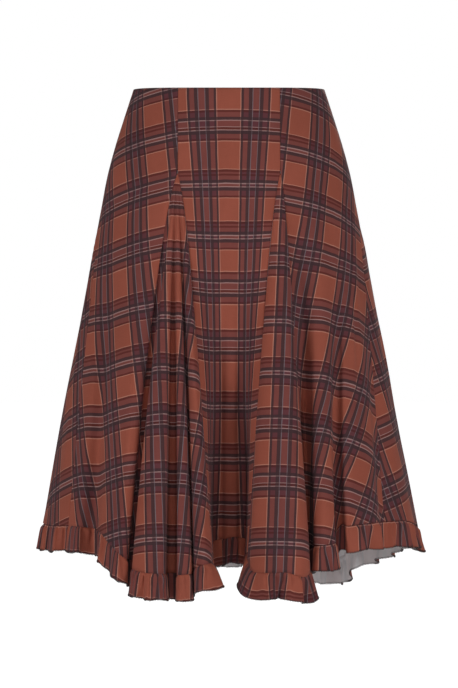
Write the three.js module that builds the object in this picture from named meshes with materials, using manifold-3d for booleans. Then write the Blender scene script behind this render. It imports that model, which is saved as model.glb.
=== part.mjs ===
// An a-line midi skirt, worn and hollow: gored panels, a godet in each princess seam and side
// seam, a narrow gathered ruffle round the hem and a concealed zip at centre back.
// Millimetres, +Z up, the front faces -Y. The origin is the middle of the waist's top edge.
import * as THREE from 'three';
import Module from 'manifold-3d';
import { mergeVertices } from 'three/addons/utils/BufferGeometryUtils.js';

// ---------------------------------------------------------------- driving dimensions
const wall = 1.5;             // thickness of the cloth wall, measured level
const seamGap = 0.3;          // what parts two pieces at a seam
const zipGap = 1.6;           // what parts the two back halves down the zip
const waistDip = 4;           // how far the waist's edge dips at centre front and centre back
const princessFront = 69;     // centre front to a front princess seam, measured across
const princessBack = 88;      // centre back to a back princess seam, measured across
const sideSeamTurn = THREE.MathUtils.degToRad(84);   // turn from centre front to a side seam
const princessTip = 120;      // drop of the princess godets' tips below the waist
const sideTip = 185;          // drop of the side godets' tips
const tipHalfWidth = 1.4;     // a godet's opening is blunt at its tip, twice this wide ...
const tipEase = 0.3;          // ... and the godet stands back from it there by this much
const tipBite = 3;            // the seam closes this far above a godet's tip
const spreadPower = 0.62;     // a fold spreads sideways early ...
const depthPower = 1.2;       // ... and deepens faster and faster on its way to the hem
const foldReach = 22;         // how far to each side the hem is averaged for the folds' tops
const calmPower = 1.8;        // small folds wait for this power of the way left to the hem
const meanWeights = [1, 2, 3, 2, 1].map((weight) => weight / 9);
const columnStep = 12;        // largest distance between two columns of a wall at the hem
const ruffleSeat = 0.4;       // what parts the ruffle from the hem seam above it
const ruffleHeight = 35;
const ruffleWaves = 60;       // gathers round the whole hem
const ruffleSpread = 0.8;     // power by which the ruffle swings out on its way down
const edgeStep = 1e-6;        // keeps a place at a piece's end on that piece

// The body under the folds: an oval at each drop below the waist.
const bodyRows = [
  { drop: 0, halfWidth: 131, halfDepth: 100 },
  { drop: 40, halfWidth: 144, halfDepth: 110 },
  { drop: 80, halfWidth: 156.5, halfDepth: 119 },
  { drop: 120, halfWidth: 167, halfDepth: 126 },
  { drop: 160, halfWidth: 174.5, halfDepth: 131 },
  { drop: 200, halfWidth: 182, halfDepth: 136 },
  { drop: 300, halfWidth: 198, halfDepth: 146 },
  { drop: 650, halfWidth: 250, halfDepth: 178 },
];

// The hem seam, once round from centre back by the left side: a row for each crest and hollow
// of the folds, where it lies, how far it drops below the waist, the height of the ruffle's
// waves there and how far the ruffle kicks out. A row with `starts` is a seam, and names the
// piece that begins at it.
const hemRows = [
  { starts: 'panel_back_centre_left', x: 0, y: 172, drop: 630, wave: 5, kick: 4 },
  { x: -26, y: 176, drop: 630, wave: 6.5, kick: 4 },
  { x: -50, y: 164, drop: 631, wave: 5, kick: 3 },
  { x: -65, y: 147, drop: 634, wave: 1.5, kick: 1 },
  { starts: 'godet_back_left', x: -71, y: 168, drop: 640, wave: 3, kick: 5 },
  { x: -84, y: 202, drop: 653, wave: 6, kick: 6 },
  { x: -104, y: 210, drop: 656, wave: 6.5, kick: 4 },
  { x: -121, y: 194, drop: 654, wave: 4, kick: 3 },
  { x: -138, y: 204, drop: 655, wave: 6, kick: 4 },
  { x: -153, y: 190, drop: 652, wave: 4, kick: 7 },
  { starts: 'panel_back_left', x: -156, y: 160, drop: 633, wave: 3, kick: 4 },
  { x: -164, y: 144, drop: 621, wave: 3, kick: 2 },
  { x: -187, y: 151, drop: 611, wave: 6, kick: 4 },
  { x: -208, y: 132, drop: 607, wave: 6, kick: 4 },
  { x: -227, y: 104, drop: 602, wave: 5, kick: 4 },
  { starts: 'godet_side_left', x: -237, y: 76, drop: 597, wave: 5, kick: 4 },
  { x: -250, y: 52, drop: 596, wave: 6, kick: 5 },
  { x: -244, y: 26, drop: 594, wave: 4, kick: 3 },
  { x: -253, y: -2, drop: 593, wave: 5, kick: 6 },
  { x: -250, y: -38, drop: 593, wave: 5, kick: 5 },
  { x: -236, y: -74, drop: 593, wave: 5, kick: 4 },
  { starts: 'panel_front_left', x: -216, y: -104, drop: 591, wave: 5, kick: 4 },
  { x: -197, y: -128, drop: 592, wave: 5, kick: 4 },
  { x: -181, y: -122, drop: 594, wave: 2, kick: 1 },
  { x: -170, y: -152, drop: 599, wave: 4, kick: 4 },
  { x: -158, y: -174, drop: 612, wave: 4, kick: 6 },
  { x: -141, y: -188, drop: 627, wave: 4, kick: 3 },
  { x: -134.5, y: -182, drop: 631, wave: 2, kick: 0 },
  { starts: 'godet_front_left', x: -133, y: -168, drop: 633, wave: 0.8, kick: 0 },
  { x: -131, y: -152, drop: 634, wave: 0.5, kick: 0 },
  { x: -127, y: -151, drop: 635, wave: 0.5, kick: 0 },
  { x: -127, y: -188, drop: 644, wave: 2.5, kick: 5 },
  { x: -110, y: -206, drop: 648, wave: 6, kick: 6 },
  { x: -88, y: -208, drop: 649, wave: 4, kick: 3 },
  { x: -76, y: -172, drop: 650, wave: 1, kick: 0.5 },
  { x: -72, y: -173, drop: 650, wave: 1, kick: 0.5 },
  { x: -65, y: -206, drop: 651, wave: 3, kick: 2 },
  { x: -54, y: -204, drop: 650, wave: 2, kick: 1.5 },
  { x: -47, y: -166, drop: 648, wave: 0.5, kick: 0 },
  { x: -42, y: -203, drop: 640, wave: 2, kick: 1.5 },
  { x: -32, y: -208, drop: 637, wave: 4, kick: 6 },
  { x: -24, y: -197, drop: 636, wave: 3, kick: 14 },
  { starts: 'panel_front_centre', x: -22, y: -168, drop: 632, wave: 1.5, kick: 5 },
  { x: -21, y: -140, drop: 620, wave: 1, kick: 0 },
  { x: -19, y: -114, drop: 611, wave: 0.8, kick: 0 },
  { x: -10, y: -107, drop: 609, wave: 1, kick: 0 },
  { x: -4, y: -116, drop: 608, wave: 2, kick: 1 },
  { x: 3, y: -118, drop: 606, wave: 4, kick: 3 },
  { x: 10, y: -117, drop: 606, wave: 3, kick: 1 },
  { x: 14, y: -108, drop: 607, wave: 1, kick: 0 },
  { x: 20, y: -110, drop: 608, wave: 0.8, kick: 0 },
  { x: 22, y: -138, drop: 616, wave: 1.5, kick: 2 },
  { starts: 'godet_front_right', x: 24, y: -166, drop: 633, wave: 2, kick: 12 },
  { x: 31, y: -190, drop: 647, wave: 4, kick: 15 },
  { x: 52, y: -208, drop: 648, wave: 6, kick: 4 },
  { x: 76, y: -216, drop: 647, wave: 6.5, kick: 4 },
  { x: 96, y: -214, drop: 653, wave: 5, kick: 6 },
  { x: 107, y: -193, drop: 648, wave: 3, kick: 9 },
  { starts: 'panel_front_right', x: 101, y: -160, drop: 631, wave: 1.2, kick: 2 },
  { x: 105, y: -136, drop: 622, wave: 0.8, kick: 0 },
  { x: 112, y: -158, drop: 616, wave: 0.8, kick: 0 },
  { x: 114, y: -188, drop: 613, wave: 3, kick: 2 },
  { x: 124, y: -197, drop: 612, wave: 5, kick: 5 },
  { x: 138, y: -190, drop: 610, wave: 4, kick: 4 },
  { x: 140, y: -160, drop: 598, wave: 1.2, kick: 1 },
  { x: 147, y: -159, drop: 588, wave: 1.2, kick: 1 },
  { x: 156, y: -175, drop: 588, wave: 4, kick: 2 },
  { x: 176, y: -166, drop: 586, wave: 6, kick: 5 },
  { x: 193, y: -151, drop: 585, wave: 5, kick: 4 },
  { x: 200, y: -136, drop: 585, wave: 3, kick: 3 },
  { x: 203, y: -110, drop: 586, wave: 1.2, kick: 0 },
  { starts: 'godet_side_right', x: 209, y: -101, drop: 586, wave: 3, kick: 2 },
  { x: 236, y: -77, drop: 586, wave: 5, kick: 5 },
  { x: 252, y: -38, drop: 592, wave: 5, kick: 7 },
  { x: 258, y: -2, drop: 599, wave: 5, kick: 6 },
  { x: 246, y: 24, drop: 592, wave: 4, kick: 4 },
  { x: 252, y: 50, drop: 595, wave: 5, kick: 4 },
  { starts: 'panel_back_right', x: 238, y: 77, drop: 600, wave: 4, kick: 4 },
  { x: 228, y: 106, drop: 610, wave: 5, kick: 4 },
  { x: 208, y: 134, drop: 620, wave: 6, kick: 4 },
  { x: 196, y: 150, drop: 625, wave: 5, kick: 4 },
  { x: 180, y: 148, drop: 632, wave: 3, kick: 2 },
  { starts: 'godet_back_right', x: 170, y: 164, drop: 643, wave: 3, kick: 3 },
  { x: 165, y: 190, drop: 654, wave: 4, kick: 5 },
  { x: 150, y: 207, drop: 657, wave: 6, kick: 4 },
  { x: 128, y: 196, drop: 655, wave: 4, kick: 3 },
  { x: 108, y: 208, drop: 656, wave: 6.5, kick: 4 },
  { x: 88, y: 200, drop: 653, wave: 6, kick: 6 },
  { starts: 'panel_back_centre_right', x: 74, y: 168, drop: 641, wave: 3, kick: 5 },
  { x: 67, y: 147, drop: 634, wave: 1.5, kick: 1 },
  { x: 49, y: 164, drop: 631, wave: 5, kick: 3 },
  { x: 25, y: 175, drop: 630, wave: 6.5, kick: 4 },
];

// Each seam: where it runs above its godet's tip, and the drop of that tip.
const seams = {
  centreBackLeft: { turn: -Math.PI, tip: princessTip },
  backLeft: { across: -princessBack, atBack: true, tip: princessTip },
  sideLeft: { turn: -sideSeamTurn, tip: sideTip },
  frontLeft: { across: -princessFront, tip: princessTip },
  frontRight: { across: princessFront, tip: princessTip },
  sideRight: { turn: sideSeamTurn, tip: sideTip },
  backRight: { across: princessBack, atBack: true, tip: princessTip },
  centreBackRight: { turn: Math.PI, tip: princessTip },
};

// The pieces in the order of the hem, each with the seams at its two edges. A godet lies in one.
const clothPieces = [
  { name: 'panel_back_centre_left', from: 'centreBackLeft', to: 'backLeft' },
  { name: 'godet_back_left', from: 'backLeft', to: 'backLeft' },
  { name: 'panel_back_left', from: 'backLeft', to: 'sideLeft' },
  { name: 'godet_side_left', from: 'sideLeft', to: 'sideLeft' },
  { name: 'panel_front_left', from: 'sideLeft', to: 'frontLeft' },
  { name: 'godet_front_left', from: 'frontLeft', to: 'frontLeft' },
  { name: 'panel_front_centre', from: 'frontLeft', to: 'frontRight' },
  { name: 'godet_front_right', from: 'frontRight', to: 'frontRight' },
  { name: 'panel_front_right', from: 'frontRight', to: 'sideRight' },
  { name: 'godet_side_right', from: 'sideRight', to: 'sideRight' },
  { name: 'panel_back_right', from: 'sideRight', to: 'backRight' },
  { name: 'godet_back_right', from: 'backRight', to: 'backRight' },
  { name: 'panel_back_centre_right', from: 'backRight', to: 'centreBackRight' },
];

// The ruffle's strips, each under the pieces from `first` to `last`.
const ruffleStrips = [
  { name: 'ruffle_back_centre_left', first: 'panel_back_centre_left', last: 'godet_back_left' },
  { name: 'ruffle_back_left', first: 'panel_back_left', last: 'godet_side_left' },
  { name: 'ruffle_front_left', first: 'panel_front_left', last: 'godet_front_left' },
  { name: 'ruffle_front_centre', first: 'panel_front_centre', last: 'godet_front_right' },
  { name: 'ruffle_front_right', first: 'panel_front_right', last: 'godet_side_right' },
  { name: 'ruffle_back_right', first: 'panel_back_right', last: 'godet_back_right' },
  { name: 'ruffle_back_centre_right', first: 'panel_back_centre_right',
    last: 'panel_back_centre_right' },
];

// Rows of a wall, as shares of the way from the waist to the godets' tips and on to the hem.
const sharesAboveTip = [0, 0.25, 0.5, 0.75];
const sharesBelowTip = [0, 0.07, 0.15, 0.26, 0.42, 0.65, 1];
const ruffleRows = [0, 0.5, 1];
const zipEndShare = 0.15;     // the zip ends at this share below the tips' level

// ---------------------------------------------------------------- smooth curves
// A smooth curve through values at given places. With a period it closes on itself.
function curveThrough(places, values, period = 0) {
  const count = places.length;
  const lap = (i) => Math.floor(i / count);
  const place = (i) => places[i - lap(i) * count] + lap(i) * period;
  const value = (i) => values[i - lap(i) * count];
  const within = (i) => (period ? i : Math.min(Math.max(i, 0), count - 1));
  const rise = (i) => {
    const [before, after] = [within(i - 1), within(i + 1)];
    if (before === i) return (value(after) - value(i)) / (place(after) - place(i));
    if (after === i) return (value(i) - value(before)) / (place(i) - place(before));
    const [stepIn, stepOut] = [place(i) - place(before), place(after) - place(i)];
    const slopeIn = (value(i) - value(before)) / stepIn;
    const slopeOut = (value(after) - value(i)) / stepOut;
    return (slopeIn * stepOut + slopeOut * stepIn) / (stepIn + stepOut);
  };
  return (at) => {
    const where = period ? at - Math.floor(at / period) * period : at;
    let i = places.findLastIndex((start) => start <= where);
    if (!period) i = Math.min(Math.max(i, 0), count - 2);
    const step = place(i + 1) - place(i);
    const t = (where - place(i)) / step;
    const start = value(i) * (1 + 2 * t) * (1 - t) ** 2 + rise(i) * step * t * (1 - t) ** 2;
    const end = value(i + 1) * t * t * (3 - 2 * t) - rise(i + 1) * step * t * t * (1 - t);
    return start + end;
  };
}

const bodyDrops = bodyRows.map((row) => row.drop);
const halfWidth = curveThrough(bodyDrops, bodyRows.map((row) => row.halfWidth));
const halfDepth = curveThrough(bodyDrops, bodyRows.map((row) => row.halfDepth));

// The hem is measured along its rows, so a place on it is a length in millimetres.
const hemPlaces = [];
let hemLength = 0;
hemRows.forEach((row, i) => {
  const next = hemRows[(i + 1) % hemRows.length];
  hemPlaces.push(hemLength);
  hemLength += Math.hypot(next.x - row.x, next.y - row.y);
});
const hemCurve = (key) => curveThrough(hemPlaces, hemRows.map((row) => row[key]), hemLength);
const hemX = hemCurve('x');
const hemY = hemCurve('y');
const hemDrop = hemCurve('drop');
const hemWave = hemCurve('wave');
const hemKick = hemCurve('kick');

clothPieces.forEach((piece, i) => {
  const starts = (name) => hemPlaces[hemRows.findIndex((row) => row.starts === name)];
  piece.start = starts(piece.name);
  piece.end = i + 1 < clothPieces.length ? starts(clothPieces[i + 1].name) : hemLength;
  piece.isGodet = piece.from === piece.to;
});

// ---------------------------------------------------------------- the skirt's surface
const mix = THREE.MathUtils.lerp;
const smoothStep = (t) => t * t * (3 - 2 * t);

// The turn of a seam from centre front, at a drop below the waist.
function seamTurn(seam, drop) {
  if (seam.turn !== undefined) return seam.turn;
  const turn = Math.asin(seam.across / halfWidth(drop));
  return seam.atBack ? Math.sign(seam.across) * Math.PI - turn : turn;
}

const bodyPoint = (turn, drop) => new THREE.Vector2(
  halfWidth(drop) * Math.sin(turn), -halfDepth(drop) * Math.cos(turn));

// The direction along the body's oval at a turn, and its length for each radian.
const bodyTangent = (turn, drop) => new THREE.Vector2(
  halfWidth(drop) * Math.cos(turn), halfDepth(drop) * Math.sin(turn));

// How far a fold has grown at a share of the way from the tips' level to the hem.
function growth(share, power) {
  const ease = 0.015;
  const grown = (t) => (t + ease) ** power - ease ** power;
  return share <= 0 ? 0 : grown(share) / grown(1);
}

// The piece that holds a place on the hem, and how far across it the place lies.
function whereOn(place) {
  const at = THREE.MathUtils.euclideanModulo(place, hemLength);
  const piece = clothPieces.findLast(({ start }) => start <= at);
  return { piece, across: (at - piece.start) / (piece.end - piece.start) };
}

function turnAt(place, drop) {
  const { piece, across } = whereOn(place);
  return mix(seamTurn(seams[piece.from], drop), seamTurn(seams[piece.to], drop), across);
}

function tipDropAt(place) {
  const { piece, across } = whereOn(place);
  return mix(seams[piece.from].tip, seams[piece.to].tip, smoothStep(across));
}

// How far the hem stands from the body at a place: along the body's oval, and out of it.
function hemOffset(place) {
  const turn = turnAt(place, hemDrop(place));
  const along = bodyTangent(turn, hemDrop(place)).normalize();
  const offset = new THREE.Vector2(hemX(place), hemY(place)).sub(bodyPoint(turn, hemDrop(place)));
  return { aside: offset.dot(along), out: offset.x * along.y - offset.y * along.x };
}

// Small folds die out towards the hips. There the cloth of a piece spreads evenly between its
// seams, and stands out by the mean of the hem to each side of it.
function foldOffset(place, share) {
  const calm = (1 - THREE.MathUtils.clamp(share, 0, 1)) ** calmPower;
  const { piece, across } = whereOn(place);
  const [first, last] = [piece.start, piece.end - edgeStep].map((edge) => hemOffset(edge).aside);
  const aside = mix(hemOffset(place).aside, mix(first, last, across), calm);
  let out = 0;
  meanWeights.forEach((weight, i) => {
    const reach = foldReach * calm * (2 * i / (meanWeights.length - 1) - 1);
    out += weight * hemOffset(place + reach).out;
  });
  return { aside, out };
}

// The outside of the cloth at a place on the hem and a drop below the waist.
function surfacePoint(place, drop) {
  const lowest = hemDrop(place);
  const tip = tipDropAt(place);
  const share = (drop - tip) / (lowest - tip);
  const point = bodyPoint(turnAt(place, drop), drop);
  if (share > 0) {
    const along = bodyTangent(turnAt(place, lowest), lowest).normalize();
    const outward = new THREE.Vector2(along.y, -along.x);
    const offset = foldOffset(place, share);
    point.addScaledVector(along, offset.aside * growth(share, spreadPower));
    point.addScaledVector(outward, offset.out * growth(share, depthPower));
  }
  return new THREE.Vector3(point.x, point.y, -drop);
}

// The level direction along the cloth, and the level direction out of its face. Near the tips
// it leans on the body's own direction, because a godet has hardly any width there.
function alongSurface(place, drop) {
  const step = 1;   // a short stretch of the hem to each side
  const tip = tipDropAt(place);
  const share = THREE.MathUtils.clamp((drop - tip) / (hemDrop(place) - tip), 0, 1);
  const along = surfacePoint(place + step, drop).sub(surfacePoint(place - step, drop));
  const lean = 0.01 + (1 - share) ** 8;
  const steady = bodyTangent(turnAt(place, drop), drop).normalize().multiplyScalar(lean);
  return along.add(new THREE.Vector3(steady.x, steady.y, 0)).normalize();
}
const outOf = (along) => new THREE.Vector3(along.y, -along.x, 0);

// The rows down a column: the drop, and the share below the tips' level (-1 above it).
function rowsDown(place, isGodet) {
  const waist = waistDip * Math.cos(turnAt(place, 0)) ** 2;
  const tip = tipDropAt(place);
  const above = sharesAboveTip.map((share) => ({ drop: mix(waist, tip, share), share: -1 }));
  above.push({ drop: tip - tipBite, share: -1 });
  const below = sharesBelowTip.map((share) => ({ drop: mix(tip, hemDrop(place), share), share }));
  return isGodet ? below : [...above, ...below];
}

// Columns across a piece, as places on the hem: each stretch between two hem rows is parted.
function columnPlaces(piece) {
  const edges = hemPlaces.filter((place) => place >= piece.start && place < piece.end);
  edges.push(piece.end);
  const places = [];
  for (let i = 0; i + 1 < edges.length; i += 1) {
    const parts = Math.max(2, Math.ceil((edges[i + 1] - edges[i]) / columnStep));
    for (let part = 0; part < parts; part += 1) {
      places.push(mix(edges[i], edges[i + 1], part / parts));
    }
  }
  return [...places, piece.end];
}

// What parts two pieces at a seam. The back halves stand wider apart down the zip.
function gapAt(seamName, row) {
  const isCentreBack = Math.abs(seams[seamName].turn ?? 0) === Math.PI;
  return isCentreBack && row.share <= zipEndShare ? zipGap : seamGap;
}

// How far a column is moved along the body so that a godet's tip is blunt: godets widen there,
// and the edges of the panels beside them draw back by as much.
function tipShift(piece, across, row) {
  if (row.share < 0) return 0;
  const fade = (1 - row.share) ** 4;
  if (piece.isGodet) return (2 * across - 1) * (tipHalfWidth - tipEase) * fade;
  if (across === 0) return seams[piece.from].turn === -Math.PI ? 0 : tipHalfWidth * fade;
  return across === 1 && seams[piece.to].turn !== Math.PI ? -tipHalfWidth * fade : 0;
}

// ---------------------------------------------------------------- closed walls
// A closed wall between two grids of points. Rows go down and columns go round with the hem.
function wallBetween(outer, inner) {
  const [rows, columns] = [outer.length, outer[0].length];
  const positions = [...outer.flat(), ...inner.flat()].flatMap((point) => point.toArray());
  const out = (row, column) => row * columns + column;
  const into = (row, column) => rows * columns + out(row, column);
  const faces = [];
  const quad = (a, b, c, d) => faces.push(a, b, c, a, c, d);
  for (let r = 0; r + 1 < rows; r += 1) {
    for (let c = 0; c + 1 < columns; c += 1) {
      quad(out(r, c), out(r + 1, c), out(r + 1, c + 1), out(r, c + 1));
      quad(into(r, c), into(r, c + 1), into(r + 1, c + 1), into(r + 1, c));
    }
    quad(out(r + 1, 0), out(r, 0), into(r, 0), into(r + 1, 0));
    const last = columns - 1;
    quad(out(r + 1, last), into(r + 1, last), into(r, last), out(r, last));
  }
  for (let c = 0; c + 1 < columns; c += 1) {
    quad(out(0, c), out(0, c + 1), into(0, c + 1), into(0, c));
    const low = rows - 1;
    quad(out(low, c + 1), out(low, c), into(low, c), into(low, c + 1));
  }
  const geometry = new THREE.BufferGeometry();
  geometry.setAttribute('position', new THREE.Float32BufferAttribute(positions, 3));
  geometry.setIndex(faces);
  return geometry;
}

// A wall along a piece through columns at shares across it. `depthIn` moves its outside in.
function clothWall(piece, acrosses, depthIn = 0, thick = wall, keepRow = () => true) {
  const columns = acrosses.map((across) => {
    const place = mix(piece.start, piece.end, across);
    const inward = piece.isGodet ? 1 - 2 * across : (across === 0) - (across === 1);
    const seamName = across === 0 ? piece.from : piece.to;
    // an edge keeps to its own side of the hem's end
    const at = Math.min(place, hemLength - edgeStep);
    return rowsDown(at, piece.isGodet).filter(keepRow).map((row) => {
      const along = alongSurface(at, row.drop);
      const body = bodyTangent(turnAt(at, row.drop), row.drop).normalize();
      const point = surfacePoint(at, row.drop);
      point.addScaledVector(along, inward * gapAt(seamName, row) / 2);
      point.addScaledVector(new THREE.Vector3(body.x, body.y, 0), tipShift(piece, across, row));
      const outward = outOf(along);
      return {
        outer: point.clone().addScaledVector(outward, -depthIn),
        inner: point.clone().addScaledVector(outward, -depthIn - thick),
      };
    });
  });
  const grid = (side) => columns[0].map((_, row) => columns.map((column) => column[row][side]));
  return wallBetween(grid('outer'), grid('inner'));
}

// ---------------------------------------------------------------- the ruffle
// The ruffle's waves are uneven in spacing and height, and come round to where they began.
function ruffleWave(place) {
  const lap = place / hemLength * 2 * Math.PI;
  const beat = ruffleWaves * lap + 1.1 * Math.sin(5 * lap) + 1.3 * Math.sin(13 * lap + 1);
  const height = 0.85 + 0.25 * Math.sin(7 * lap + 2) + 0.15 * Math.sin(17 * lap);
  return hemWave(place) * height * Math.sin(beat);
}

// A strip of ruffle. Its top edge follows the straight edges between the panels' columns, and
// it has one more column halfway between each two of them.
function ruffleStrip({ first, last }) {
  const from = clothPieces.findIndex((piece) => piece.name === first);
  const to = clothPieces.findIndex((piece) => piece.name === last);
  const above = clothPieces.slice(from, to + 1).flatMap(columnPlaces);
  const places = above.filter((place, i) => i === 0 || place > above[i - 1]);
  const tops = places.map((place, i) => {
    const inset = (i === 0) - (i === places.length - 1);
    const at = place + inset * seamGap / 2;
    const point = new THREE.Vector3(hemX(at), hemY(at), -hemDrop(place) - ruffleSeat);
    return { at, point, outward: outOf(alongSurface(at, hemDrop(at))) };
  });
  const halfway = tops.slice(1).map((after, i) => {
    const before = tops[i];
    const outward = before.outward.clone().lerp(after.outward, 0.5);
    return { at: mix(before.at, after.at, 0.5), point: before.point.clone().lerp(after.point, 0.5),
      outward };
  });
  const columns = tops.flatMap((top, i) => (i < halfway.length ? [top, halfway[i]] : [top]));
  // the cloth keeps its height, so it hangs less low where it swings out
  const rowOf = (down, depthIn) => columns.map(({ at, point, outward }) => {
    const lowSwing = ruffleWave(at) + hemKick(at);
    const hang = ruffleHeight * Math.sqrt(1 - (lowSwing / ruffleHeight) ** 2);
    const moved = point.clone();
    moved.addScaledVector(outward, lowSwing * down ** ruffleSpread - depthIn);
    moved.z -= hang * down;
    return moved;
  });
  return wallBetween(ruffleRows.map((down) => rowOf(down, 0)),
    ruffleRows.map((down) => rowOf(down, wall)));
}

// ---------------------------------------------------------------- the concealed zip
const tapeWidth = 13;
const tapeThick = 0.8;
const tapeInset = 1;          // each tape starts this far from centre back

// A zip tape lies inside one back half, along the opening.
function zipTape(piece, isLeft) {
  const shares = [tapeInset, tapeWidth].map((distance) => distance / princessBack);
  const acrosses = isLeft ? shares : shares.map((share) => 1 - share).reverse();
  return clothWall(piece, acrosses, wall + seamGap, tapeThick,
    (row) => row.share <= zipEndShare);
}

const sliderDrop = 15;        // from the waist to the middle of the slider
const sliderLength = 9;
const frontPlate = { width: 4.4, thick: 0.8, clear: 0.4 };
const rearPlate = { width: 7, thick: 1.5, clear: 0.4 };
const bridgeWidth = 0.9;      // the bridge passes between the folded edges of the opening
const ear = { thick: 0.7, from: 1, to: 3.2, rise: 2.4, clear: 0.4 };
const overlap = 0.2;          // how far two joined pieces of metal run into each other
const pin = { radius: 0.45, out: 2.8, up: 2.1 };
const pullEye = { inside: 0.8, outside: 1.35, width: 2.2 };
const pullTab = { length: 22, width: 5.4, thick: 1, neck: 2.2, shoulder: 5 };
const pullLean = THREE.MathUtils.degToRad(4.5);   // the hanging pull leans in towards the cloth

const wasm = await Module();
wasm.setup();

function asSolid(geometry) {
  const bare = geometry.clone();
  bare.deleteAttribute('normal');
  bare.deleteAttribute('uv');
  const merged = mergeVertices(bare);
  const triangles = merged.index ? merged.index.array : [...merged.attributes.position.array.keys()];
  return new wasm.Manifold(new wasm.Mesh({
    numProp: 3,
    vertProperties: new Float32Array(merged.attributes.position.array),
    triVerts: new Uint32Array(triangles),
  }));
}

function asGeometry(solid) {
  const mesh = solid.getMesh();
  const geometry = new THREE.BufferGeometry();
  geometry.setAttribute('position', new THREE.BufferAttribute(mesh.vertProperties, 3));
  geometry.setIndex(new THREE.BufferAttribute(mesh.triVerts, 1));
  return geometry;
}

// A box from one corner to the opposite one.
function boxBetween(low, high) {
  const size = high.map((value, i) => value - low[i]);
  const middle = high.map((value, i) => (value + low[i]) / 2);
  return new THREE.BoxGeometry(...size).translate(...middle);
}

// A round bar or ring along X, centred on it.
function barAlongX(radius, length, hole = 0) {
  const outline = new THREE.Shape().absarc(0, 0, radius, 0, 2 * Math.PI);
  if (hole > 0) outline.holes.push(new THREE.Path().absarc(0, 0, hole, 0, 2 * Math.PI, true));
  return new THREE.ExtrudeGeometry(outline, { depth: length, bevelEnabled: false, curveSegments: 6 })
    .translate(0, 0, -length / 2).rotateY(Math.PI / 2);
}

// The slider, with X across, Y out of the cloth's face and Z up it.
function zipSlider() {
  const half = sliderLength / 2;
  const frontFace = frontPlate.clear + frontPlate.thick;
  const rearStart = -(wall + seamGap + tapeThick + rearPlate.clear);
  const earOutside = pullEye.width / 2 + ear.clear + ear.thick;
  const parts = [
    boxBetween([-frontPlate.width / 2, frontPlate.clear, -half],
      [frontPlate.width / 2, frontFace, half]),
    boxBetween([-rearPlate.width / 2, rearStart - rearPlate.thick, -half],
      [rearPlate.width / 2, rearStart, half]),
    boxBetween([-bridgeWidth / 2, rearStart - overlap, -half],
      [bridgeWidth / 2, frontFace - overlap, half]),
    barAlongX(pin.radius, 2 * (earOutside - overlap)).translate(0, pin.out, pin.up),
  ];
  [-1, 1].forEach((side) => {
    const faces = [side * earOutside, side * (earOutside - ear.thick)].sort((a, b) => a - b);
    parts.push(boxBetween([faces[0], frontFace - overlap, ear.from],
      [faces[1], frontFace + ear.rise, ear.to]));
  });
  return asGeometry(parts.map(asSolid).reduce((whole, part) => whole.add(part)));
}

// The pull, hanging from its eye, which is at the origin.
function zipPull() {
  const tab = new THREE.Shape();
  const halfNeck = pullTab.neck / 2;
  const halfTab = pullTab.width / 2;
  const low = -pullTab.length + halfTab;
  const top = -pullEye.inside - overlap;
  tab.moveTo(halfNeck, top);
  tab.lineTo(-halfNeck, top);
  tab.lineTo(-halfNeck, -pullTab.shoulder);
  tab.lineTo(-halfTab, low);
  tab.absarc(0, low, halfTab, Math.PI, 2 * Math.PI);
  tab.lineTo(halfNeck, -pullTab.shoulder);
  const plate = new THREE.ExtrudeGeometry(tab,
    { depth: pullTab.thick, bevelEnabled: false, curveSegments: 6 })
    .translate(0, 0, -pullTab.thick / 2).rotateX(Math.PI / 2);
  const eye = barAlongX(pullEye.outside, pullEye.width, pullEye.inside);
  return asGeometry(asSolid(eye).add(asSolid(plate)));
}

// ---------------------------------------------------------------- the object
const skirt = new THREE.Group();
const clothFinish = { color: 0x8c4a38, roughness: 0.92, metalness: 0 };
const tapeFinish = { color: 0x4a2f2a, roughness: 0.85, metalness: 0 };
const zipFinish = { color: 0x5a3a30, roughness: 0.45, metalness: 0.3 };

function addMesh(name, geometry, finish, parent = skirt) {
  const mesh = new THREE.Mesh(geometry, new THREE.MeshStandardMaterial(finish));
  mesh.name = name;
  parent.add(mesh);
  return mesh;
}

clothPieces.forEach((piece) => {
  const length = piece.end - piece.start;
  const acrosses = columnPlaces(piece).map((place) => (place - piece.start) / length);
  addMesh(piece.name, clothWall(piece, acrosses), clothFinish);
});

ruffleStrips.forEach((strip) => addMesh(strip.name, ruffleStrip(strip), clothFinish));

addMesh('zip_tape_left', zipTape(clothPieces[0], true), tapeFinish);
addMesh('zip_tape_right', zipTape(clothPieces[clothPieces.length - 1], false), tapeFinish);

// The slider lies on the slope of the back, and the pull hangs on its pin.
const zip = new THREE.Group();
const slope = (halfDepth(sliderDrop + sliderLength) - halfDepth(sliderDrop)) / sliderLength;
zip.position.set(0, halfDepth(sliderDrop), -sliderDrop);
zip.rotation.x = Math.atan(slope);
skirt.add(zip);
addMesh('zip_slider', zipSlider(), zipFinish, zip);
const pull = addMesh('zip_pull', zipPull(), zipFinish, zip);
pull.position.set(0, pin.out, pin.up);
pull.rotation.x = -pullLean;

export default skirt;
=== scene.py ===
# %% [markdown]
# # An a-line midi skirt in a brown check
# The skirt is worn, so its cloth keeps the hollow form of hips that aren't there. Gored panels
# run from the waist to the hem, a godet widens each princess seam and side seam, and a narrow
# gathered ruffle goes round the hem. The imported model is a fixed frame: each of its solids is a
# plain wall of cloth, and this lesson lays a fine, creased shell of checked cloth on each one.

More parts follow.
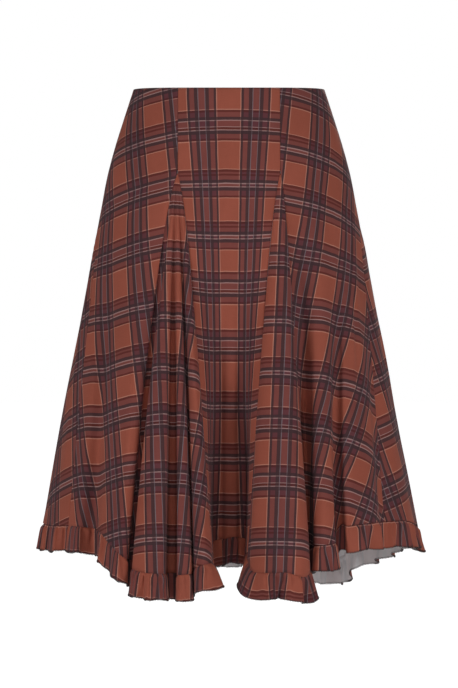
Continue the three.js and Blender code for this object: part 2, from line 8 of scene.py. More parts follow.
# %% Load the fixed frame
import math
import bpy
import numpy as np
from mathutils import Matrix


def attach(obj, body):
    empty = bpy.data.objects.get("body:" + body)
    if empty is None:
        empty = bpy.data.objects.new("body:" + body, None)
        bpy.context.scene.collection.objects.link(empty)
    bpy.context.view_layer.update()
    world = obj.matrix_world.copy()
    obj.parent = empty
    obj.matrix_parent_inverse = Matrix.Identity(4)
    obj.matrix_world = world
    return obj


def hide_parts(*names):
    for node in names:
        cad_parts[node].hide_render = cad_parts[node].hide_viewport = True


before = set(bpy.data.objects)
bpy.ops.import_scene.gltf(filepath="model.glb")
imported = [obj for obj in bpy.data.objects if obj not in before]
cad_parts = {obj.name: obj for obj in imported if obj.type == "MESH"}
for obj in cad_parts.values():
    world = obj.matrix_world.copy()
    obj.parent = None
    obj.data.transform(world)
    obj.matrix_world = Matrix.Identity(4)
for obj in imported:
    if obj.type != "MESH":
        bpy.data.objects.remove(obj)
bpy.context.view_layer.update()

print("solids to dress:", len(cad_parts))

# %% [markdown]
# ## The camera
# A skirt for a shop page is shot level, from far away with a long lens, so that its waist and
# hem keep their true proportions. The camera looks along +Y at the middle of the skirt. Its lens
# follows from the distance and from the height of the scene that has to fit the view.

# %% Set up the camera
eye_distance = 4.7
eye_height = -0.348
seen_height = 0.943
sensor = 36.0

camera_data = bpy.data.cameras.new("camera")
camera_data.sensor_width = sensor
camera_data.lens = sensor * eye_distance / seen_height
camera = bpy.data.objects.new("camera", camera_data)
camera.location = (0, -eye_distance, eye_height)
camera.rotation_euler = (math.radians(90), 0, 0)
bpy.context.scene.collection.objects.link(camera)
bpy.context.scene.camera = camera
print(f"lens: {camera_data.lens:.0f} mm")

# %% [markdown]
# ## The smooth curves
# The whole skirt follows from a few tables: the oval of the body at some heights, and the crests
# and hollows of the folds round the hem. A smooth curve runs through each column of a table. Its
# slope at a row is the mean of the slopes to both sides, the nearer neighbour counting most, so
# that it never swings past a sharp fold. NumPy works on whole grids of places at once.

# %% A smooth curve through a table
def curve_through(places, values, period=None):
    """A function that gives the curve's height at any place. With a period it closes on itself."""
    places, values = np.array(places, float), np.array(values, float)
    if period:
        places = np.concatenate([places - period, places, places + period])
        values = np.tile(values, 3)
    steps = np.diff(places)
    slopes = np.diff(values) / steps
    leaning = slopes[:-1] * steps[1:] + slopes[1:] * steps[:-1]
    rises = np.concatenate([slopes[:1], leaning / (steps[:-1] + steps[1:]), slopes[-1:]])

    def at(where):
        where = np.asarray(where, float)
        if period:
            where = where % period
        i = np.clip(np.searchsorted(places, where, side="right") - 1, 0, len(steps) - 1)
        t = (where - places[i]) / steps[i]
        start = values[i] * (1 + 2 * t) * (1 - t) ** 2 + rises[i] * steps[i] * t * (1 - t) ** 2
        end = values[i + 1] * t * t * (3 - 2 * t) - rises[i + 1] * steps[i] * t * t * (1 - t)
        return start + end

    return at


def smooth_step(t):
    """0 before 0, 1 after 1, and an even S between them."""
    t = np.clip(t, 0, 1)
    return t * t * (3 - 2 * t)

# %% [markdown]
# ## The tables
# Sizes are in millimetres here, as a pattern cutter would have them, and turn into metres when a
# mesh is made. The front faces -Y and the waist lies at a drop of 0. Each row of the hem is one
# crest or hollow, from centre back round by the left side, with the height of the ruffle's waves
# below it and how far the ruffle kicks out there. A row that has a name starts that piece.

# %% The body and the hem
body_rows = [  # drop below the waist, half width, half depth
    (0, 131, 100),
    (40, 144, 110),
    (80, 156.5, 119),
    (120, 167, 126),
    (160, 174.5, 131),
    (200, 182, 136),
    (300, 198, 146),
    (650, 250, 178),
]
hem_rows = [  # x, y, drop, wave, kick, and the piece that starts there
    (0, 172, 630, 5, 4, "panel_back_centre_left"),
    (-26, 176, 630, 6.5, 4),
    (-50, 164, 631, 5, 3),
    (-65, 147, 634, 1.5, 1),
    (-71, 168, 640, 3, 5, "godet_back_left"),
    (-84, 202, 653, 6, 6),
    (-104, 210, 656, 6.5, 4),
    (-121, 194, 654, 4, 3),
    (-138, 204, 655, 6, 4),
    (-153, 190, 652, 4, 7),
    (-156, 160, 633, 3, 4, "panel_back_left"),
    (-164, 144, 621, 3, 2),
    (-187, 151, 611, 6, 4),
    (-208, 132, 607, 6, 4),
    (-227, 104, 602, 5, 4),
    (-237, 76, 597, 5, 4, "godet_side_left"),
    (-250, 52, 596, 6, 5),
    (-244, 26, 594, 4, 3),
    (-253, -2, 593, 5, 6),
    (-250, -38, 593, 5, 5),
    (-236, -74, 593, 5, 4),
    (-216, -104, 591, 5, 4, "panel_front_left"),
    (-197, -128, 592, 5, 4),
    (-181, -122, 594, 2, 1),
    (-170, -152, 599, 4, 4),
    (-158, -174, 612, 4, 6),
    (-141, -188, 627, 4, 3),
    (-134.5, -182, 631, 2, 0),
    (-133, -168, 633, 0.8, 0, "godet_front_left"),
    (-131, -152, 634, 0.5, 0),
    (-127, -151, 635, 0.5, 0),
    (-127, -188, 644, 2.5, 5),
    (-110, -206, 648, 6, 6),
    (-88, -208, 649, 4, 3),
    (-76, -172, 650, 1, 0.5),
    (-72, -173, 650, 1, 0.5),
    (-65, -206, 651, 3, 2),
    (-54, -204, 650, 2, 1.5),
    (-47, -166, 648, 0.5, 0),
    (-42, -203, 640, 2, 1.5),
    (-32, -208, 637, 4, 6),
    (-24, -197, 636, 3, 14),
    (-22, -168, 632, 1.5, 5, "panel_front_centre"),
    (-21, -140, 620, 1, 0),
    (-19, -114, 611, 0.8, 0),
    (-10, -107, 609, 1, 0),
    (-4, -116, 608, 2, 1),
    (3, -118, 606, 4, 3),
    (10, -117, 606, 3, 1),
    (14, -108, 607, 1, 0),
    (20, -110, 608, 0.8, 0),
    (22, -138, 616, 1.5, 2),
    (24, -166, 633, 2, 12, "godet_front_right"),
    (31, -190, 647, 4, 15),
    (52, -208, 648, 6, 4),
    (76, -216, 647, 6.5, 4),
    (96, -214, 653, 5, 6),
    (107, -193, 648, 3, 9),
    (101, -160, 631, 1.2, 2, "panel_front_right"),
    (105, -136, 622, 0.8, 0),
    (112, -158, 616, 0.8, 0),
    (114, -188, 613, 3, 2),
    (124, -197, 612, 5, 5),
    (138, -190, 610, 4, 4),
    (140, -160, 598, 1.2, 1),
    (147, -159, 588, 1.2, 1),
    (156, -175, 588, 4, 2),
    (176, -166, 586, 6, 5),
    (193, -151, 585, 5, 4),
    (200, -136, 585, 3, 3),
    (203, -110, 586, 1.2, 0),
    (209, -101, 586, 3, 2, "godet_side_right"),
    (236, -77, 586, 5, 5),
    (252, -38, 592, 5, 7),
    (258, -2, 599, 5, 6),
    (246, 24, 592, 4, 4),
    (252, 50, 595, 5, 4),
    (238, 77, 600, 4, 4, "panel_back_right"),
    (228, 106, 610, 5, 4),
    (208, 134, 620, 6, 4),
    (196, 150, 625, 5, 4),
    (180, 148, 632, 3, 2),
    (170, 164, 643, 3, 3, "godet_back_right"),
    (165, 190, 654, 4, 5),
    (150, 207, 657, 6, 4),
    (128, 196, 655, 4, 3),
    (108, 208, 656, 6.5, 4),
    (88, 200, 653, 6, 6),
    (74, 168, 641, 3, 5, "panel_back_centre_right"),
    (67, 147, 634, 1.5, 1),
    (49, 164, 631, 5, 3),
    (25, 175, 630, 6.5, 4),
]
print(f"the hem has {len(hem_rows)} crests, hollows and turns")

# %% [markdown]
# ## Curves through the tables
# A place on the skirt is named by its length along the hem's seam, measured straight from row to
# row and starting at centre back. Each column of the hem's table becomes a curve over that length.

# %% Run a curve through each column
body_drop, body_width, body_depth = zip(*body_rows)
half_width = curve_through(body_drop, body_width)
half_depth = curve_through(body_drop, body_depth)

hem_line = np.array([row[:5] for row in hem_rows], float)
hem_steps = np.hypot(*(np.roll(hem_line, -1, axis=0) - hem_line)[:, :2].T)
hem_places = np.concatenate([[0], np.cumsum(hem_steps)[:-1]])
hem_length = hem_steps.sum()
hem_x, hem_y, hem_drop, hem_wave, hem_kick = (
    curve_through(hem_places, column, hem_length) for column in hem_line.T)
print(f"hem seam: {hem_length:.0f} mm round")

# %% [markdown]
# ## The pieces and their seams
# A princess seam lies at a set distance from the middle and a side seam at a set turn round the
# body. Below its tip each seam opens into a godet, a wedge of cloth that makes the skirt flare.
# A godet therefore has the same seam at both edges.

# %% List the seams and the pieces
princess_front = 69
princess_back = 88
side_turn = math.radians(84)
princess_tip = 120
side_tip = 185
seams = {  # turn from centre front or distance across it, whether at the back, drop of the tip
    "centre_back_left": {"turn": -math.pi, "tip": princess_tip},
    "back_left": {"across": -princess_back, "at_back": True, "tip": princess_tip},
    "side_left": {"turn": -side_turn, "tip": side_tip},
    "front_left": {"across": -princess_front, "tip": princess_tip},
    "front_right": {"across": princess_front, "tip": princess_tip},
    "side_right": {"turn": side_turn, "tip": side_tip},
    "back_right": {"across": princess_back, "at_back": True, "tip": princess_tip},
    "centre_back_right": {"turn": math.pi, "tip": princess_tip},
}
order = list(seams)
piece_seams = [("centre_back_left", "back_left")]
for first, second in zip(order[1:], order[2:]):
    piece_seams += [(first, first), (first, second)]
starts = [(i, row[5]) for i, row in enumerate(hem_rows) if len(row) == 6]
pieces = []
for (row, name), (first, second) in zip(starts, piece_seams):
    pieces.append({"name": name, "from": order.index(first), "to": order.index(second),
                   "start": hem_places[row], "godet": first == second})
for piece, following in zip(pieces, pieces[1:] + [{"start": hem_length}]):
    piece["end"] = following["start"]
print("pieces:", ", ".join(piece["name"] for piece in pieces))

# %% [markdown]
# ## Which way a place lies
# Every row of a piece runs from its first seam to its second. A place therefore has a share
# across its piece, and from that share a turn round the body and the drop of the tip above it.
# On the body's oval these give a point, the level direction along the cloth and the one out of it.
# Directions are arrays whose last axis is x and y, and `unit` makes them 1 long.

# %% Find a place on the body
piece_starts = np.array([piece["start"] for piece in pieces])
piece_ends = np.array([piece["end"] for piece in pieces])
piece_from = np.array([piece["from"] for piece in pieces])
piece_to = np.array([piece["to"] for piece in pieces])
seam_tip = np.array([float(seams[name]["tip"]) for name in order])
seam_across = np.array([float(seams[name].get("across", 0)) for name in order])
seam_fixed = np.array([float(seams[name].get("turn", 0)) for name in order])
seam_at_back = np.array([seams[name].get("at_back", False) for name in order])


def seam_turn(seam, drop):
    """How far round the body a seam lies, where 0 is centre front."""
    turn = np.arcsin(seam_across[seam] / half_width(drop))
    turn = np.where(seam_at_back[seam], np.sign(turn) * math.pi - turn, turn)
    return np.where(seam_across[seam] == 0, seam_fixed[seam], turn)


def where_on(place):
    """The number of the piece at a place, and the place's share across it."""
    at = place % hem_length
    piece = np.searchsorted(piece_starts, at, side="right") - 1
    across = (at - piece_starts[piece]) / (piece_ends[piece] - piece_starts[piece])
    return piece, across


def turn_at(place, drop):
    piece, across = where_on(place)
    first = seam_turn(piece_from[piece], drop)
    return first + (seam_turn(piece_to[piece], drop) - first) * across


def tip_drop_at(place):
    piece, across = where_on(place)
    first = seam_tip[piece_from[piece]]
    return first + (seam_tip[piece_to[piece]] - first) * smooth_step(across)


def unit(vectors):
    return vectors / np.linalg.norm(vectors, axis=-1, keepdims=True)


def body_point(turn, drop):
    return np.stack([half_width(drop) * np.sin(turn), -half_depth(drop) * np.cos(turn)], -1)


def body_direction(turn, drop):
    return unit(np.stack([half_width(drop) * np.cos(turn), half_depth(drop) * np.sin(turn)], -1))


def out_of(along):
    """The direction out of the skirt, square to the one along it."""
    return np.stack([along[..., 1], -along[..., 0]], -1)


print("a side seam's turn:", seam_turn(order.index("side_right"), 0.0).round(2))

# %% [markdown]
# ## How the folds grow
# Above the tips the cloth lies on the body. Below them each fold grows towards the place that the
# hem's table gives it: sideways early, outwards later, since a power below 1 rises fast at first
# and one above 1 rises late. Small folds die out on the way up, where only their mean is left.

# %% Grow the folds
spread_power = 0.62                                # of the growth sideways ...
depth_power = 1.2                                  # ... and of the growth outwards
ease = 0.015                                       # keeps the first growth from being sudden
calm_power = 1.8                                   # how fast small folds come in downwards
fold_reach = 22                                    # the mean at the top runs this far each way ...
mean_weights = np.array([1, 2, 3, 2, 1]) / 9       # ... with these weights
short_of_end = 1e-6                                # a place just before the next piece starts


def growth(share, power):
    """How much of a fold is there at a share of the way from the tip to the hem."""
    grown = (np.maximum(share, 0) + ease) ** power - ease ** power
    return grown / ((1 + ease) ** power - ease ** power)


def hem_offset(place):
    """How far the hem lies from the body at its level: along the body, and out of it."""
    turn = turn_at(place, hem_drop(place))
    along = body_direction(turn, hem_drop(place))
    offset = np.stack([hem_x(place), hem_y(place)], -1) - body_point(turn, hem_drop(place))
    return (offset * along).sum(-1), (offset * out_of(along)).sum(-1)


def surface_point(place, drop):
    """The point of the cloth at a place and a drop, in millimetres."""
    place, drop = np.broadcast_arrays(place, drop)
    lowest, tip = hem_drop(place), tip_drop_at(place)
    share = (drop - tip) / (lowest - tip)
    calm = (1 - np.clip(share, 0, 1)) ** calm_power
    piece, across = where_on(place)
    first = hem_offset(piece_starts[piece])[0]
    last = hem_offset(piece_ends[piece] - short_of_end)[0]
    aside = hem_offset(place)[0]
    aside = aside + (first + (last - first) * across - aside) * calm
    out = 0
    for weight, reach in zip(mean_weights, np.linspace(-fold_reach, fold_reach, len(mean_weights))):
        out = out + weight * hem_offset(place + reach * calm)[1]
    along = body_direction(turn_at(place, lowest), lowest)
    point = body_point(turn_at(place, drop), drop)
    point = point + along * (aside * growth(share, spread_power))[..., None]
    point = point + out_of(along) * (out * growth(share, depth_power))[..., None]
    return np.concatenate([point, -drop[..., None].astype(float)], -1)


print("front of the waist:", surface_point(hem_length / 2, 4.0).round(1))

# %% [markdown]
# ## The direction along the cloth
# Whatever stands out of the cloth, such as a crease, needs to know which way the cloth faces. Two
# points of one row, a step to each side, give the level direction along it. Near a tip the folds
# are too small to tell, so the body's own direction is mixed in there.

# %% Look along the cloth
look_step = 1.0
least_mix = 0.01       # how much of the body's direction is mixed in everywhere ...
mix_power = 8          # ... and how fast the rest of it fades below the tips


def along_surface(place, drop):
    """The level direction along the cloth, which leans on the body's near the tips."""
    place, drop = np.broadcast_arrays(place, drop)
    tip = tip_drop_at(place)
    share = np.clip((drop - tip) / (hem_drop(place) - tip), 0, 1)
    along = surface_point(place + look_step, drop) - surface_point(place - look_step, drop)
    mix = least_mix + (1 - share) ** mix_power
    return unit(along[..., :2] + body_direction(turn_at(place, drop), drop) * mix[..., None])


print("the front hem runs towards:", along_surface(hem_length / 2, 600.0).round(2))

# %% [markdown]
# ## Creases
# Sewn cloth is never quite smooth. Along a seam the stitches draw it into small puckers, above
# the ruffle the gathers lift it a little, and long soft ridges run down from the hips, where the
# skirt hung or was carried. Each is a low bump of the surface, and the same kinds lie all round.
# A ridge's cross-section is a bell curve, and it runs out upwards and downwards by another one.

# %% Draw the creases
ridge_clear = 9        # ridges run out this close to a seam
pucker_height = 0.28
pucker_reach = 7       # how far into the cloth the seam's puckers go
pucker_middle = 0.4    # the share of the way down a godet where they are strongest ...
pucker_span = 0.9      # ... and how far from there they fade
gather_height = 0.45
gather_reach = 11      # how far above the ruffle its gathers lift the cloth
gather_clear = 4       # they run out this close to a seam
ridge_dice = np.random.default_rng(11)
ridge_count = 90
ridges = [{
    "place": ridge_dice.uniform(0, hem_length),
    "lean": ridge_dice.normal(0, 0.07),
    "middle": ridge_dice.uniform(120, 560),
    "reach": ridge_dice.uniform(50, 150),
    "half": ridge_dice.uniform(5, 13),
    "height": ridge_dice.uniform(-2.0, 2.2),
} for _ in range(ridge_count)]


def uneven_wave(at, length, wander, drift, swell):
    """A sine along a length whose beat wanders over a drift and whose height follows a swell."""
    return np.sin(at / length + wander * np.sin(at / drift)) * (0.6 + 0.4 * np.sin(at / swell))


def bell(at, reach):
    return np.exp(-(at / reach) ** 2)


def crease_height(place, drop, from_edge, share):
    """How far creases lift the cloth, in millimetres."""
    height = np.zeros(np.shape(drop))
    for ridge in ridges:
        aside = place - ridge["place"] - ridge["lean"] * (drop - ridge["middle"])
        aside = (aside + hem_length / 2) % hem_length - hem_length / 2
        down = (drop - ridge["middle"]) / ridge["reach"]
        height += ridge["height"] * np.exp(-(aside / ridge["half"]) ** 2 - down ** 2)
    height *= smooth_step(from_edge / ridge_clear)
    pucker = pucker_height * uneven_wave(drop, length=2.1, wander=1.7, drift=17, swell=29)
    height += pucker * bell(from_edge, pucker_reach) * bell(share - pucker_middle, pucker_span)
    above_hem = hem_drop(place) - drop
    gather = gather_height * uneven_wave(place, length=1.6, wander=1.3, drift=11, swell=23)
    return height + gather * bell(above_hem, gather_reach) * smooth_step(from_edge / gather_clear)


print("long ridges:", len(ridges))

# %% [markdown]
# ## A shell of cloth
# A piece of cloth is a thin closed shell: a grid of points on its outside, the same grid set
# back by the cloth's thickness, and a rim round both. A Solidify modifier could thicken a sheet
# too, but building both faces lets the back have its own finish. Each point also carries its
# place in the flat cut, as an attribute that the material reads.

# %% Build a shell
mm = 0.001


def mesh_object(name, points, faces, materials):
    """A smooth mesh in the scene, from lists of points and faces."""
    mesh = bpy.data.meshes.new(name)
    mesh.from_pydata(points, [], faces)
    mesh.polygons.foreach_set("use_smooth", np.ones(len(faces), bool))
    for material in materials:
        mesh.materials.append(material)
    made = bpy.data.objects.new(name, mesh)
    bpy.context.scene.collection.objects.link(made)
    return made


def shell_object(name, outside, inside, cut, materials):
    """A closed shell between two grids of points, in metres. `cut` is the place in the cut."""
    rows, columns = outside.shape[:2]
    index = np.arange(rows * columns).reshape(rows, columns)
    under = index + rows * columns

    def quads(a, b, c, d):
        return np.stack([a, b, c, d], -1).reshape(-1, 4)

    front = quads(index[:-1, :-1], index[1:, :-1], index[1:, 1:], index[:-1, 1:])
    back = quads(under[:-1, :-1], under[:-1, 1:], under[1:, 1:], under[1:, :-1])
    rims = [
        quads(index[1:, 0], index[:-1, 0], under[:-1, 0], under[1:, 0]),
        quads(index[1:, -1], under[1:, -1], under[:-1, -1], index[:-1, -1]),
        quads(index[0, :-1], index[0, 1:], under[0, 1:], under[0, :-1]),
        quads(index[-1, 1:], index[-1, :-1], under[-1, :-1], under[-1, 1:]),
    ]
    faces = np.concatenate([front, back, *rims])
    points = np.concatenate([outside.reshape(-1, 3), inside.reshape(-1, 3)])
    made = mesh_object(name, points.tolist(), faces.tolist(), materials)
    finish = np.zeros(len(faces), np.int32)
    finish[len(front):len(front) + len(back)] = 1
    made.data.polygons.foreach_set("material_index", finish)
    lay = made.data.attributes.new("cut", "FLOAT_VECTOR", "POINT")
    lay.data.foreach_set("vector", np.tile(cut.reshape(-1, 3), (2, 1)).ravel())
    return made

# %% [markdown]
# ## The rows and columns of a grid
# A panel's rows run from the waist to the tips' level and on to the hem, and a godet's start at
# its tip. Columns lie closer together at the seams, where the cloth's edge rolls in.

# %% Place the rows and columns
waist_dip = 4            # how far the waist sinks at centre front and centre back
rows_above = 25          # rows of points above the tips' level ...
rows_below = 83          # ... and from there to the hem
column_step = 4.0
seam_roll = 0.7          # how deep the cloth's edge rolls into a seam ...
seam_roll_width = 2.2    # ... over this width


def rows_down(place, godet):
    """Each column's drops, and their share of the way from the tip to the hem, -1 above it."""
    tip = tip_drop_at(place)
    share = np.linspace(0, 1, rows_below)[:, None] + 0 * tip
    drops = tip + (hem_drop(place) - tip) * share
    if godet:
        return drops, share
    waist = waist_dip * np.cos(turn_at(place, 0)) ** 2
    above = np.linspace(0, 1, rows_above, endpoint=False)[:, None]
    drops_above = waist + (tip - waist) * above
    return np.concatenate([drops_above, drops]), np.concatenate([0 * drops_above - 1, share])


def columns_across(piece):
    """Places on the hem across a piece, closer at its seams."""
    length = piece["end"] - piece["start"]
    near_seam = np.array([0, 0.5, 1.2, seam_roll_width])
    inner = np.linspace(near_seam[-1], length - near_seam[-1], round(length / column_step))
    return piece["start"] + np.concatenate([near_seam[:-1], inner, length - near_seam[-2::-1]])


print("columns of each piece:", [len(columns_across(piece)) for piece in pieces])

# %% [markdown]
# ## The grid of a panel or godet
# A point starts on the skirt's surface. A godet's tip is blunt, and the panels beside it draw back
# by as much. Then the edges move apart by half a seam's gap each, creases lift the cloth, and its
# edges roll in.

# %% Build a grid
seam_gap = 0.3
tip_half_width = 0.7     # of a godet's blunt tip, with ...
tip_gap = 0.2            # ... this much of it left free at each side
tip_fade_power = 6       # how fast the bluntness fades below the tip
at_seam = 1e-4           # a share across a piece that counts as lying on its seam


def lengths_along(points, axis):
    """The length run so far along a grid's rows (axis 1) or columns (axis 0)."""
    steps = np.linalg.norm(np.diff(points, axis=axis), axis=-1)
    return np.insert(np.cumsum(steps, axis=axis), 0, 0, axis=axis)


def tip_shift(piece, across, share):
    """How far along the body the cloth moves near the tips, in millimetres."""
    fade = np.clip(1 - share, 0, 1) ** tip_fade_power * (share >= 0)
    if piece["godet"]:
        return (2 * across - 1) * (tip_half_width - tip_gap) * fade
    opens = [abs(seams[order[piece[end]]].get("turn", 0)) != math.pi for end in ("from", "to")]
    at_edge = (across < at_seam) * 1.0 * opens[0] - (across > 1 - at_seam) * 1.0 * opens[1]
    return tip_half_width * fade * at_edge


def cloth_grid(piece):
    """The outside of a piece in millimetres, and its level outward direction."""
    place = np.minimum(columns_across(piece), hem_length - short_of_end)
    drop, share = rows_down(place, piece["godet"])
    place = np.broadcast_to(place, drop.shape)
    along = along_surface(place, drop)
    outward = out_of(along)
    point = surface_point(place, drop)
    across = (place - piece["start"]) / (piece["end"] - piece["start"])
    body = body_direction(turn_at(place, drop), drop)
    point[..., :2] += body * tip_shift(piece, across, share)[..., None]
    run = lengths_along(point, 1)
    from_edge = np.minimum(run, run[:, -1:] - run)
    inset = np.zeros(place.shape[1])
    inset[0], inset[-1] = 1, -1
    point[..., :2] += along * (inset * seam_gap / 2)[None, :, None]
    rise = crease_height(place, drop, from_edge, np.clip(share, 0, 1))
    rise -= seam_roll * (1 - smooth_step(from_edge / seam_roll_width)) ** 2
    point[..., :2] += outward * rise[..., None]
    return point, outward


print("rows and columns of the first piece:", cloth_grid(pieces[0])[0].shape[:2])

# %% [markdown]
# ## The place in the flat cut
# A point's place in the cut is the length along its row and the length down from the waist, and
# the rows of a widening piece are arcs of its flat cut.

# %% Unroll a grid into its flat cut
draw_reach = 1.2     # so many half turns of a sine draw the lengthwise stripes together ...
draw_delay = 1.4     # ... and this power lets it set in slowly below the waist


def cut_places(point, grain, lean, across, down, radius, sag=1, draw=0):
    """Each point's place in the flat cut, in metres, turned and moved to where the check lies."""
    run = lengths_along(point, 1)
    column = round(grain * (point.shape[1] - 1))
    aside = run - run[:, column:column + 1]
    below = lengths_along(point, 0)
    share = below / below[-1:]
    drawn = aside * (1 + draw * np.sin(draw_reach * math.pi * share ** draw_delay))
    below = below - sag * aside ** 2 / (2 * (radius + below))
    turn = math.radians(lean)
    over = drawn * math.cos(turn) + below * math.sin(turn) + across
    under = below * math.cos(turn) - aside * math.sin(turn) - down
    return np.stack([over, under, 0 * over], -1) * mm


closest = (0.5 / draw_reach) ** (1 / draw_delay)
print(f"the lengthwise stripes lie closest together {closest:.0%} of the way down")

# %% [markdown]
# ## Shader maths
# A printed check and the shade of a yarn are sums and products of a few patterns. One small class
# wraps a socket of a material's node tree, so that such a sum can be written as Python: every
# operator adds a Math node. Any other node comes from `node`, with its settings first and then
# what its sockets hold.

# %% A class for sockets
class Dye:
    """What comes out of a socket of a material's node tree."""

    def __init__(self, socket):
        self.socket = socket
        self.tree = socket.id_data

    def node(self, kind, settings=(), inputs=(), output=0):
        made = self.tree.nodes.new("ShaderNode" + kind)
        for name, value in dict(settings).items():
            if name == "stops":
                lay_stops(made.color_ramp, value)
            else:
                setattr(made, name, value)
        for name, value in dict(inputs).items():
            if isinstance(value, Dye):
                self.tree.links.new(value.socket, made.inputs[name])
            else:
                made.inputs[name].default_value = value
        return Dye(made.outputs[output])

    def maths(self, operation, first, second=0.0):
        return self.node("Math", {"operation": operation}, {0: first, 1: second})

    def __add__(self, other):
        return self.maths("ADD", self, other)

    def __sub__(self, other):
        return self.maths("SUBTRACT", self, other)

    def __mul__(self, other):
        return self.maths("MULTIPLY", self, other)

    def __truediv__(self, other):
        return self.maths("DIVIDE", self, other)

    def __gt__(self, other):
        return self.maths("GREATER_THAN", self, other)

    def __lt__(self, other):
        return self.maths("LESS_THAN", self, other)

    def part_of(self, whole):
        """The share of the way through the repeat that a length has come."""
        return self.maths("FRACT", self / whole)

    def blend(self, first, second):
        """`first` where this mask is 0 and `second` where it is 1."""
        return self.node("Mix", {"data_type": "RGBA"}, {0: self, 6: first, 7: second}, 2)


def lay_stops(ramp, stops):
    """Give a ramp one plain stretch of colour from each stop to the next."""
    ramp.interpolation = "CONSTANT"
    for at, thread in stops[2:]:
        ramp.elements.new(at)
    for element, (at, thread) in zip(ramp.elements, stops):
        element.position = at
        element.color = thread

# %% [markdown]
# ## The check
# Lengthwise stripes repeat every 75 mm. Crosswise stripes come in two kinds of group, which
# repeat every 296 mm in the order one, two, two, one. Where two stripes cross, the stronger
# thread hides more of the weaker one: dark covers rust almost wholly, and burgundy only half. The
# chart holds the square roots of the colours, because halfway between those looks halfway to the
# eye, and the shader squares the result. A thread's strength travels as the ramp's alpha.
# Lengthwise the pale lines are grey, and crosswise they are lighter.

# %% Chart the check
threads = {  # the square roots of red, green and blue, and the strength
    "rust": (0.588, 0.302, 0.240, 0.07),
    "tan": (0.76, 0.52, 0.45, 0.18),
    "wine": (0.30, 0.135, 0.13, 0.21),
    "burgundy": (0.365, 0.200, 0.218, 0.085),
    "dark": (0.248, 0.176, 0.186, 0.7),
    "grey": (0.43, 0.385, 0.41, 0.8),
    "light": (0.62, 0.48, 0.47, 0.6),
}
warp_repeat = 75.0
warp_chart = [
    (15.9, "rust"), (1.1, "tan"), (3.7, "dark"), (6.8, "burgundy"), (4.9, "dark"),
    (1.0, "grey"), (8.6, "burgundy"), (1.0, "grey"), (4.9, "dark"), (6.8, "burgundy"),
    (3.3, "dark"), (1.1, "tan"), (15.9, "rust"),
]
group_one = [
    (1.2, "tan"), (3.4, "wine"), (6.6, "burgundy"), (4.4, "dark"), (1.3, "light"),
    (7.6, "burgundy"), (1.3, "light"), (3.2, "wine"), (1.3, "light"), (4.8, "dark"),
    (6.2, "burgundy"), (3.2, "wine"), (1.2, "tan"),
]
group_two = [
    (1.2, "tan"), (3.4, "wine"), (2.6, "burgundy"), (2.4, "wine"), (5.4, "burgundy"),
    (4.2, "dark"), (1.5, "light"), (3.2, "burgundy"), (1.3, "light"), (4.4, "dark"),
    (6.8, "burgundy"), (2.4, "wine"), (1.2, "tan"),
]
group_repeat = 296.5
group_middles = [0.0, 80.0, 149.5, 219.5, 296.5]
group_window = 84.0      # a stretch of cloth that holds any one group
print("lengthwise stripes in a repeat:", len(warp_chart))

# %% [markdown]
# ## From the chart to a colour
# A colour ramp with plain stretches is one chart laid along a line. Crosswise, the group that a
# place belongs to is found first, by counting how many borders between groups it has passed, and
# then the place is measured from that group's middle.

# %% Weave the two charts together
def stops_of(chart, whole):
    """The stops of a ramp that shows a chart in the middle of a whole length."""
    at = (whole - sum(width for width, _ in chart)) / 2
    stops = [(0.0, threads["rust"])] if at > 0 else []
    for width, thread in chart:
        stops.append((at / whole, threads[thread]))
        at += width
    if at < whole:
        stops.append((at / whole, threads["rust"]))
    return stops


def striped(along, chart, whole):
    """The colour and the strength of a chart's thread at a share of the way along it."""
    ramp = along.node("ValToRGB", {"stops": stops_of(chart, whole)}, {"Fac": along}).socket.node
    return Dye(ramp.outputs["Color"]), Dye(ramp.outputs["Alpha"])


def check_colour(over, under):
    """The check's colour at a place in the cut, given in millimetres."""
    warp, warp_strength = striped(over.part_of(warp_repeat), warp_chart, warp_repeat)
    within = under.part_of(group_repeat) * group_repeat
    passed = [(low + high) / 2 for low, high in zip(group_middles, group_middles[1:])]
    middle = within * 0
    for edge, low, high in zip(passed, group_middles, group_middles[1:]):
        middle = middle + (within > edge) * (high - low)
    local = (within - middle) / group_window + 0.5
    one, one_strength = striped(local, group_one, group_window)
    two, two_strength = striped(local, group_two, group_window)
    is_two = (within > passed[0]) * (within < passed[2])
    weft = is_two.blend(one, two)
    weft_strength = is_two * (two_strength - one_strength) + one_strength
    weft_share = weft_strength / (warp_strength + weft_strength)
    return weft_share.blend(warp, weft)

# %% [markdown]
# ## The cloth's finish
# The cotton is a fine twill with the check printed on its face. Its back is pale, and the check
# only shows through it. Uneven yarns make faint streaks both ways, and the twill's ribs are a
# bump of about a tenth of a millimetre. Cotton scatters light from its fibres' ends, so it gets a
# little sheen and hardly any gloss.

# %% Make the cloth's two materials
stripe_wander = 0.9                        # millimetres that a stripe strays from its place
yarn_streaks = ((2200.0, 60.0, 1.0), (60.0, 2200.0, 1.0))
streak_shade, patch_shade, least_shade = 0.40, 0.30, 0.65
show_through = 0.22                        # how much of the print shows on the back
bare_cotton = (0.9, 0.87, 0.88, 1)
rib_pitch = 1.1                            # millimetres from one rib of the twill to the next


def new_material(name):
    """A material, its shader, and the shader's output to start a sum from."""
    made = bpy.data.materials.new(name)
    made.use_nodes = True
    shader = made.node_tree.nodes["Principled BSDF"]
    return made, shader, Dye(shader.outputs[0])


def connect(shader, **links):
    """Link sums to a shader's sockets, whose names are written with _ for a space."""
    for name, value in links.items():
        shader.id_data.links.new(value.socket, shader.inputs[name.replace("_", " ")])


